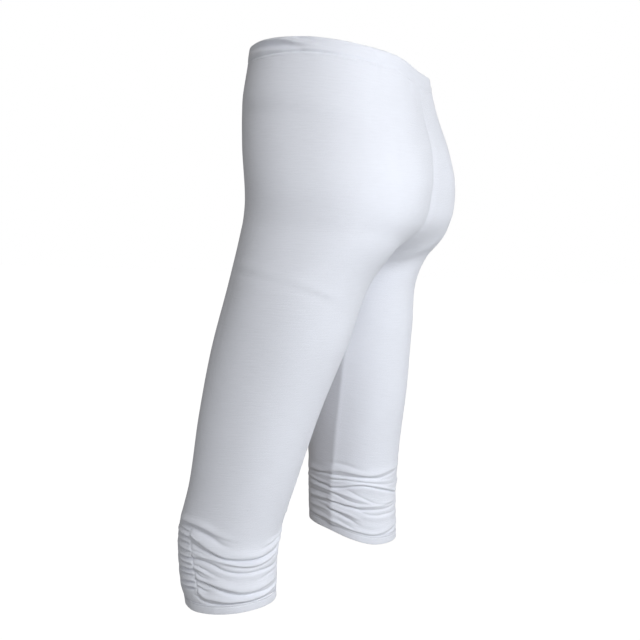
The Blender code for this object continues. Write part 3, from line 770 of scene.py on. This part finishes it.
def seat_hollow(points):
    """Shift of the cloth under the seat, the same on both panels along their seam."""
    distance = np.linalg.norm(points - SEAT_HOLLOW, axis=-1)
    return SEAT_HOLLOW_DEPTH * bell(distance, SEAT_HOLLOW_REACH)[..., None] * np.array(SEAT_HOLLOW_WAY)


def gather_bulge(side, turn, up):
    """Bulge of the large gathers, as the solids have them."""
    knots = np.array(GATHER_TURNS, float)
    count = len(knots)
    gathers = np.array(side.gathers) * MM
    ridges = [closed_curve(knots, heights, turn) for heights in gathers[:, :count]]
    depths = [closed_curve(knots, depths, turn) for depths in gathers[:, count:]]
    heights = [GATHER_HEIGHT + 0 * turn]
    bulges = [0 * turn]
    for k, (ridge, depth) in enumerate(zip(ridges, depths)):
        heights.append(ridge)
        bulges.append(RIDGE_SHARE * depth)
        if k + 1 < len(ridges):
            heights.append((ridge + ridges[k + 1]) / 2)
            bulges.append((RIDGE_SHARE - 1) * (depth + depths[k + 1]) / 2)
    heights.append(HEM_HEIGHT + 0 * turn)
    bulges.append(0 * turn)
    total = 0 * turn
    for upper, lower, swell, next_swell in zip(heights, heights[1:], bulges, bulges[1:]):
        share = (upper - up) / (upper - lower)
        inside = (share >= 0) & (share < 1)
        total = np.where(inside, swell + (next_swell - swell) * ease(share), total)
    return total


def fold_height(folds, turn, across):
    """Height of folds, in metres, where across is the distance in mm that their paths are given in."""
    total = np.zeros(np.broadcast_shapes(turn.shape, across.shape))
    for above, below, path in folds:
        knots, line, depth = np.array(sorted(path), float).T
        middle = (knots[0] + knots[-1]) / 2
        near = (turn - middle + 180) % 360 - 180 + middle
        inside = (near > knots[0]) & (near < knots[-1])
        distance = across - spline(knots, line, near)
        width = np.where(distance > 0, above, below)
        total += inside * spline(knots, depth, near) * bell(distance, width)
    return total * MM


def ripple_height(ripples, turn):
    """Uneven ripples round a band, in metres."""
    return MM * sum(depth * np.sin(np.radians(waves * turn + start)) for waves, depth, start in ripples)


def pucker_height(side, turn, down):
    """Short upright puckers below the casing."""
    total = 0 * turn
    for at, length, depth in side.puckers:
        aside = np.radians(turn - at) * LEG_RADIUS
        total = total + depth * MM * bell(aside, PUCKER_WIDTH) * bell(down, length * MM)
    return total


def relief(side, turn, up):
    """Height over the form of all that the cloth does between its seams."""
    length = -side.hem.height
    up_mm = up / MM
    aside = np.radians(turn - stitching_turn(up)) * LEG_RADIUS
    low, high = STITCHING["up"][[0, -1]]
    drawn = ease((up - low) / STITCHING_FADE + 1) * ease((high - up) / STITCHING_FADE + 1)
    dip, width = HEM_SEAM
    at_casing = length - CASING_HEIGHT - up
    at_hem = up - HEM_HEIGHT
    return (
        GATHER_SOFTNESS * gather_bulge(side, turn, up)
        + fold_height(side.folds, turn, up_mm)
        - seat_dip(side, turn, up)
        + fold_height(side.tucks, turn, up_mm)
        + pucker_height(side, turn, at_casing)
        - STITCHING_DIP * drawn * bell(aside, STITCHING_WIDTH)
        - dip * bell(at_hem, width)
    )


def seam_height(side, up, run):
    """Height over the form of the centre seams and, below the crotch, of the inseam."""
    from_end = np.minimum(run, run[:, -1:] - run)
    below = ease((CROTCH_Z - up - side.hem.height) / INSEAM_CORNER_FADE)
    centre_dip, centre_width = CENTRE_SEAM
    dip, width = INSEAM
    centre = -centre_dip * bell(from_end, centre_width)
    cleft = spline(CLEFT["height"], CLEFT["depth"], up + side.hem.height)
    centre = centre - cleft * bell(run[:, -1:] - run, CLEFT_WIDTH)
    corner = INSEAM_CORNER * np.exp(-from_end / INSEAM_CORNER_REACH)
    return (1 - below) * centre + below * (corner - dip * bell(from_end, width))


def hem_shift(side, turn, up):
    """How far the wave of the hem's edge lifts the cloth, less with the height above the hem."""
    wave = closed_curve(side.hem_wave["turn"], side.hem_wave["rise"], turn % 360)
    return wave * (1 - ease(up / HEM_WAVE_REACH))


def panel_rows(side):
    """Heights of a panel's rows above the hem, from the casing down."""
    length = -side.hem.height
    top = length - CASING_HEIGHT - LIP_GAP
    crotch = length + CROTCH_Z
    down_to_crotch = np.linspace(1, 0, ROWS_ABOVE_CROTCH + 1) ** ROW_CROWDING
    below_crotch = np.linspace(0, 1, ROWS_BELOW_CROTCH + 1)[1:] ** ROW_CROWDING
    return np.concatenate(
        [
            crotch + (top - crotch) * down_to_crotch,
            crotch + (GATHER_HEIGHT - crotch) * below_crotch,
            np.linspace(GATHER_HEIGHT, HEM_HEIGHT + LIP_GAP, ROWS_IN_GATHERS + 1)[1:],
        ]
    )


def new_object(name, data):
    """An object in the scene."""
    made = bpy.data.objects.new(name, data)
    bpy.context.scene.collection.objects.link(made)
    return made


def new_piece(name, points, faces, maps, material):
    """A shown mesh with smooth shading and the cloth's map, riding on the one body."""
    mesh = bpy.data.meshes.new(name)
    mesh.from_pydata(points.tolist(), [], faces)
    layer = mesh.uv_layers.new(name=MAP_NAME)
    layer.data.foreach_set("uv", np.asarray(maps, np.float32).ravel())
    mesh.shade_smooth()
    mesh.set_sharp_from_angle(angle=radians(EDGE_ANGLE))
    mesh.materials.append(material)
    piece = new_object(name, mesh)
    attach(piece, "root")
    return piece


def corners(grid):
    """The four corners of each cell of a grid, in order."""
    return np.stack([grid[:-1, :-1], grid[:-1, 1:], grid[1:, 1:], grid[1:, :-1]], axis=2)


def panel_surfaces(side, ups):
    """Outer and inner points of a panel, its map of the cloth, and the number of its first closed row."""
    angle, base, stops = cloth_grid(side, ups, PANEL_COLUMNS)
    up = ups[:, None]
    turn = np.degrees(angle)
    run = lengths_along(base)
    out = outward(base)
    height = relief(side, turn, up) + seam_height(side, up, run)
    outer = base + out * height[..., None] + seat_hollow(base)
    outer[..., 2] += hem_shift(side, turn, up)
    inner = outer - out * CLOTH
    # Both panels end on the middle plane down to the crotch, where the first closed row starts on it too
    first_closed = np.count_nonzero(stops)
    for points in (outer, inner):
        points[..., 0] = side.sign * np.maximum(side.sign * points[..., 0], 0)
        points[: first_closed + 1, 0, 0] = 0
        points[:first_closed, -1, 0] = 0
    cloth_map = np.stack([run - run[:, -1:] / 2, np.broadcast_to(up, run.shape)], axis=-1)
    return outer, inner, cloth_map, first_closed


def panel(side, material):
    """One leg with its half of the body, as a thin shell."""
    outer, inner, cloth_map, first_closed = panel_surfaces(side, panel_rows(side))
    rows, columns = outer.shape[:2]
    within = rows * columns
    index = np.arange(within).reshape(rows, columns)
    index[first_closed:, -1] = index[first_closed:, 0]
    cells = corners(index).reshape(-1, 4)
    cell_maps = corners(cloth_map).reshape(-1, 4, 2)
    faces = [cells[:, :: -side.sign], cells[:, :: side.sign] + within]
    maps = [cell_maps[:, :: -side.sign], cell_maps[:, :: side.sign]]

    # The shell's edges: the top, the bottom, and the front and back ends of the rows that are open
    open_rows = slice(0, first_closed + 1)
    edges = ((0, side.sign), (-1, -side.sign), ((open_rows, 0), -side.sign), ((open_rows, -1), side.sign))
    for part, order in edges:
        near, far = index[part][:-1], index[part][1:]
        faces.append(np.stack([near, far, far + within, near + within], axis=1)[:, ::order])
        near, far = cloth_map[part][:-1], cloth_map[part][1:]
        maps.append(np.stack([near, far, far, near], axis=1)[:, ::order])

    points = np.concatenate([outer.reshape(-1, 3), inner.reshape(-1, 3)])
    used, faces = np.unique(np.concatenate(faces), return_inverse=True)
    faces = faces.reshape(-1, 4).tolist()
    piece = new_piece("panel_" + side.name, points[used], faces, np.concatenate(maps), material)
    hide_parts("leg_" + side.name)
    return piece


def ring(name, loops, material):
    """A closed band whose section passes through one closed loop of points after another."""
    count, around = loops.shape[:2]
    index = np.arange(count * around).reshape(count, around)
    index = np.pad(index, ((0, 1), (0, 1)), mode="wrap")
    closed = np.pad(loops, ((0, 1), (0, 1), (0, 0)), mode="wrap")
    run = lengths_along(closed)
    section = lengths_along(np.swapaxes(closed, 0, 1)).T
    cells = corners(index).reshape(-1, 4)
    maps = corners(np.stack([run, section], axis=-1)).reshape(-1, 4, 2)
    return new_piece(name, loops.reshape(-1, 3), cells.tolist(), maps, material)


def smooth_section(section):
    """A closed band section as a smooth curve: the two distances at even places round it."""
    knots = np.linspace(0, 360, len(section), endpoint=False)
    at = np.linspace(0, 360, SECTION_POINTS, endpoint=False)
    along, out = np.array(section).T * MM
    return closed_curve(knots, along, at), closed_curve(knots, out, at)


def both_halves(left, right):
    """Full loops round the waist from the rows of the two sides, each from the front to the back."""
    front = (left[:, :1] + right[:, :1]) / 2
    back = (left[:, -1:] + right[:, -1:]) / 2
    return np.concatenate([front, left[:, 1:-1], back, right[:, -2:0:-1]], axis=1)


def casing_half(side, down, out):
    """One side's half of the casing, and its outward directions, at distances below the rim and out."""
    angle, base, _ = cloth_grid(side, -side.hem.height - down, PANEL_COLUMNS)
    wrinkles = fold_height(side.casing_folds, np.degrees(angle), down[:, None] / MM)
    wrinkles += ripple_height(CASING_RIPPLES, waist_turn(base[..., 0], base[..., 1]))
    normals = outward(base)
    return base + normals * (out[:, None] + wrinkles)[..., None], normals


def waist_casing(material):
    """The casing turned in over its elastic, with its creases and ripples."""
    section = smooth_section(CASING_SECTION)
    halves = [casing_half(side, *section)[0] for side in (LEFT, RIGHT)]
    piece = ring("band_waist", both_halves(*halves), material)
    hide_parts("waist_casing")
    return piece


def level_outward(base):
    """The form's outward direction at points on it, laid level."""
    out = outward(base)
    out[..., 2] = 0
    return unit(out)


def hem_loops(side, ups, outs):
    """Closed loops at heights above the hem's edge and distances out from the cloth's form."""
    angle, base, _ = cloth_grid(side, [HEM_HEIGHT], PANEL_COLUMNS)
    edge = base[0, :-1]
    out = level_outward(edge)
    level = edge[:, 2] - row_height(side, HEM_HEIGHT, edge[:, 0], edge[:, 1])
    turn = np.degrees(angle[0, :-1])
    wave = ripple_height(HEM_RIPPLES, turn * side.sign)
    tuck = fold_height(side.tucks, turn, ups[:, None] / MM)
    loops = edge + out * (outs[:, None] + wave + tuck)[..., None]
    loops[..., 2] += ups[:, None] - HEM_HEIGHT - level + hem_shift(side, turn, ups[:, None])
    return loops, out


def hem_band(side, material):
    """The turned hem of one leg."""
    up, out = smooth_section(HEM_SECTION)
    loops, _ = hem_loops(side, up, out)
    piece = ring("band_hem_" + side.name, loops, material)
    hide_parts("hem_" + side.name)
    return piece


def thread_faces(count):
    """Faces of closed lengths of thread, each with the same number of rings."""
    each = THREAD_RINGS * THREAD_SIDES
    faces = []
    for first in range(0, count * each, each):
        rings = (first + np.arange(each).reshape(THREAD_RINGS, THREAD_SIDES)).tolist()
        for a, b in zip(rings, rings[1:]):
            for s in range(THREAD_SIDES):
                e = (s + 1) % THREAD_SIDES
                faces.append((a[s], b[s], b[e], a[e]))
        faces.append(tuple(rings[0]))
        faces.append(tuple(rings[-1][::-1]))
    return faces


def stitches(name, points, normals, material):
    """A line of stitches: short raised lengths of thread, one after another along the points."""
    run = lengths_along(points[None])[0]
    count = int(run[-1] / STITCH_PITCH)
    starts = np.arange(count) * run[-1] / count
    t = np.linspace(0, 1, THREAD_RINGS)
    along = starts[:, None] + STITCH_LENGTH * t
    centre = np.stack([np.interp(along, run, values) for values in points.T], axis=-1)
    normal = unit(np.stack([np.interp(along, run, values) for values in normals.T], axis=-1))
    across = unit(np.cross(np.gradient(centre, axis=1), normal))
    arch = np.sin(pi * t)
    centre = centre + normal * (THREAD_RADIUS * (arch - THREAD_SUNK_SHARE))[:, None]
    radius = THREAD_RADIUS * (THREAD_END_SHARE + (1 - THREAD_END_SHARE) * arch)
    turn = np.linspace(0, 2 * pi, THREAD_SIDES, endpoint=False)
    spokes = np.cos(turn)[:, None] * across[:, :, None] + np.sin(turn)[:, None] * normal[:, :, None]
    points = (centre[:, :, None] + radius[:, None, None] * spokes).reshape(-1, 3)
    faces = thread_faces(count)
    maps = np.concatenate([points[list(face)][:, :2] for face in faces])
    return new_piece(name, points, faces, maps, material)


def casing_stitches(material):
    """The row of stitches that holds the casing's lower edge."""
    down, out = np.array(CASING_STITCH)[:, None] * MM
    left, left_normals = casing_half(LEFT, down, out)
    right, right_normals = casing_half(RIGHT, down, out)
    normals = both_halves(left_normals, right_normals)
    return stitches("stitches_waist", both_halves(left, right)[0], normals[0], material)


def hem_stitches(side, material):
    """The row of stitches that holds a hem's turned edge."""
    up, out = np.array(HEM_STITCH)[:, None] * MM
    loops, normals = hem_loops(side, up, out)
    return stitches("stitches_hem_" + side.name, loops[0], normals, material)


def upright_stitches(side, material):
    """The stitches that draw each leg's outer side into gathers."""
    low, high = STITCHING["up"][[0, -1]]
    up = np.linspace(high, low, STITCHING_PLACES)[:, None]
    turn = stitching_turn(up)
    base = place(side, up, np.radians(turn))
    normals = outward(base)
    points = base + normals * relief(side, turn, up)[..., None]
    return stitches("stitches_upright_" + side.name, points[:, 0], normals[:, 0], material)


def calculate(tree, operation, *values):
    """The result of a Math node on sockets or numbers."""
    made = tree.nodes.new("ShaderNodeMath")
    made.operation = operation
    for socket, value in zip(made.inputs, values):
        if isinstance(value, bpy.types.NodeSocket):
            tree.links.new(value, socket)
        else:
            socket.default_value = value
    return made.outputs[0]


def noise(tree, u, v, scale_u, scale_v, detail):
    """A noise value stretched along the rows or the columns of the knit."""
    vector = tree.nodes.new("ShaderNodeCombineXYZ")
    tree.links.new(calculate(tree, "MULTIPLY", u, scale_u), vector.inputs["X"])
    tree.links.new(calculate(tree, "MULTIPLY", v, scale_v), vector.inputs["Y"])
    texture = tree.nodes.new("ShaderNodeTexNoise")
    texture.inputs["Scale"].default_value = 1
    texture.inputs["Detail"].default_value = detail
    tree.links.new(vector.outputs[0], texture.inputs["Vector"])
    return texture.outputs[0]


def bump(tree, height, distance, below=None):
    """The normal of a height with a depth, on top of another bump's normal."""
    made = tree.nodes.new("ShaderNodeBump")
    made.inputs["Distance"].default_value = distance
    tree.links.new(height, made.inputs["Height"])
    if below is not None:
        tree.links.new(below, made.inputs["Normal"])
    return made.outputs[0]


def new_material(name, finish):
    """A material with constant values on its shader, with its tree and its shader."""
    material = bpy.data.materials.new(name)
    material.use_nodes = True
    shader = material.node_tree.nodes["Principled BSDF"]
    for socket, value in finish.items():
        shader.inputs[socket].default_value = value
    return material, material.node_tree, shader


def knit_height(tree, u, v):
    """Height of the knit: slanted loops along the courses, on rounded wales."""
    wale = calculate(tree, "MULTIPLY", u, 1 / WALE)
    across = calculate(tree, "PINGPONG", wale, 0.5)
    course = calculate(tree, "MULTIPLY", v, 1 / COURSE)
    slanted = calculate(tree, "ADD", course, across)
    loops = calculate(tree, "SINE", calculate(tree, "MULTIPLY", slanted, 2 * pi))
    return calculate(tree, "ADD", calculate(tree, "MULTIPLY", loops, LOOP_SHARE), across)


def jersey(name):
    """Matt white single jersey: knit loops, streaks along its courses, and a slightly uneven white."""
    material, tree, shader = new_material(name, JERSEY_FINISH)
    place_on_cloth = tree.nodes.new("ShaderNodeUVMap")
    place_on_cloth.uv_map = MAP_NAME
    parts = tree.nodes.new("ShaderNodeSeparateXYZ")
    tree.links.new(place_on_cloth.outputs[0], parts.inputs[0])
    u, v = parts.outputs["X"], parts.outputs["Y"]
    knit = knit_height(tree, u, v)

    streaks = noise(tree, u, v, *STREAKS)
    clouds = noise(tree, u, v, *CLOUDS)
    most = calculate(tree, "MULTIPLY", streaks, STREAK_SHARE)
    uneven = calculate(tree, "ADD", most, calculate(tree, "MULTIPLY", clouds, 1 - STREAK_SHARE))

    tint = tree.nodes.new("ShaderNodeMix")
    tint.data_type = "RGBA"
    for socket, share in zip((MIX_FIRST, MIX_SECOND), JERSEY_TINTS):
        tint.inputs[socket].default_value = (*(min(1, share * c) for c in JERSEY_COLOUR), 1)
    tree.links.new(uneven, tint.inputs[MIX_FACTOR])
    tree.links.new(tint.outputs[MIX_RESULT], shader.inputs["Base Color"])

    streak_normal = bump(tree, streaks, STREAK_DEPTH)
    tree.links.new(bump(tree, knit, KNIT_DEPTH, streak_normal), shader.inputs["Normal"])
    return material


def thread(name):
    """Smooth polyester thread with a fine twist."""
    material, tree, shader = new_material(name, THREAD_FINISH)
    wave = tree.nodes.new("ShaderNodeTexWave")
    wave.inputs["Scale"].default_value = TWIST_SCALE
    coordinates = tree.nodes.new("ShaderNodeTexCoord")
    tree.links.new(coordinates.outputs["Object"], wave.inputs["Vector"])
    tree.links.new(bump(tree, wave.outputs[1], TWIST_DEPTH), shader.inputs["Normal"])
    return material


def make_world():
    """A soft, even fill from all round, and a white background behind the garment."""
    world = bpy.data.worlds.new("surround")
    world.use_nodes = True
    tree = world.node_tree
    fill = tree.nodes["Background"]
    fill.inputs["Color"].default_value = (*FILL_COLOUR, 1)
    fill.inputs["Strength"].default_value = FILL_STRENGTH
    seen = tree.nodes.new("ShaderNodeBackground")
    seen.inputs["Color"].default_value = WHITE
    seen.inputs["Strength"].default_value = 1
    ray = tree.nodes.new("ShaderNodeLightPath")
    mix = tree.nodes.new("ShaderNodeMixShader")
    tree.links.new(ray.outputs["Is Camera Ray"], mix.inputs[0])
    tree.links.new(fill.outputs[0], mix.inputs[1])
    tree.links.new(seen.outputs[0], mix.inputs[2])
    tree.links.new(mix.outputs[0], tree.nodes["World Output"].inputs["Surface"])
    bpy.context.scene.world = world


def make_floor():
    """A plain pale floor well below the hems."""
    half = FLOOR_SIZE / 2
    mesh = bpy.data.meshes.new("floor")
    plan = ((-half, -half), (half, -half), (half, half), (-half, half))
    mesh.from_pydata([(x, y, FLOOR_Z) for x, y in plan], [], [(0, 1, 2, 3)])
    mesh.materials.append(new_material("floor", FLOOR_FINISH)[0])
    floor = new_object("floor", mesh)
    floor.visible_diffuse = False
    floor.visible_glossy = False


def direction(turn, height):
    """The direction towards a place at a turn round the garment and a height, both in degrees."""
    turn, height = radians(turn), radians(height)
    return Vector((np.sin(turn) * np.cos(height), -np.cos(turn) * np.cos(height), np.sin(height)))


def look_along(made, way):
    """Turn a lamp or the camera so that it looks a way."""
    made.rotation_mode = "QUATERNION"
    made.rotation_quaternion = way.to_track_quat("-Z", "Y")


def make_lights():
    """Round softboxes, all turned to the middle of the garment."""
    for box in SOFTBOXES:
        toward = direction(box.turn, box.height)
        light = bpy.data.lights.new(box.name, "AREA")
        light.shape = "DISK"
        light.size = box.width
        light.energy = box.power
        light.color = box.colour
        lamp = new_object(box.name, light)
        lamp.location = Vector(AIM) + toward * box.distance
        look_along(lamp, -toward)


def make_camera():
    """The camera where the photo was taken."""
    scene = bpy.context.scene
    away = direction(CAMERA_TURN, 0)
    right = direction(CAMERA_TURN + 90, 0)
    camera = new_object("camera", bpy.data.cameras.new("camera"))
    camera.data.sensor_width = SENSOR
    camera.data.lens = LENS
    camera.location = away * CAMERA_DISTANCE + right * CAMERA_SLIDE + Vector((0, 0, CAMERA_HEIGHT))
    look_along(camera, -direction(CAMERA_TURN, CAMERA_PITCH))
    scene.camera = camera
    scene.view_settings.view_transform = "Standard"


make_camera()
make_world()
make_floor()
make_lights()

panel_cloth = jersey("white_jersey")
casing_cloth = jersey("casing_jersey")
hem_cloth = jersey("hem_jersey")
white_thread = thread("white_thread")

casing = waist_casing(casing_cloth)
casing_thread = casing_stitches(white_thread)
for side in (LEFT, RIGHT):
    leg = panel(side, panel_cloth)
    sewn_on = [
        hem_band(side, hem_cloth),
        hem_stitches(side, white_thread),
        upright_stitches(side, white_thread),
    ]
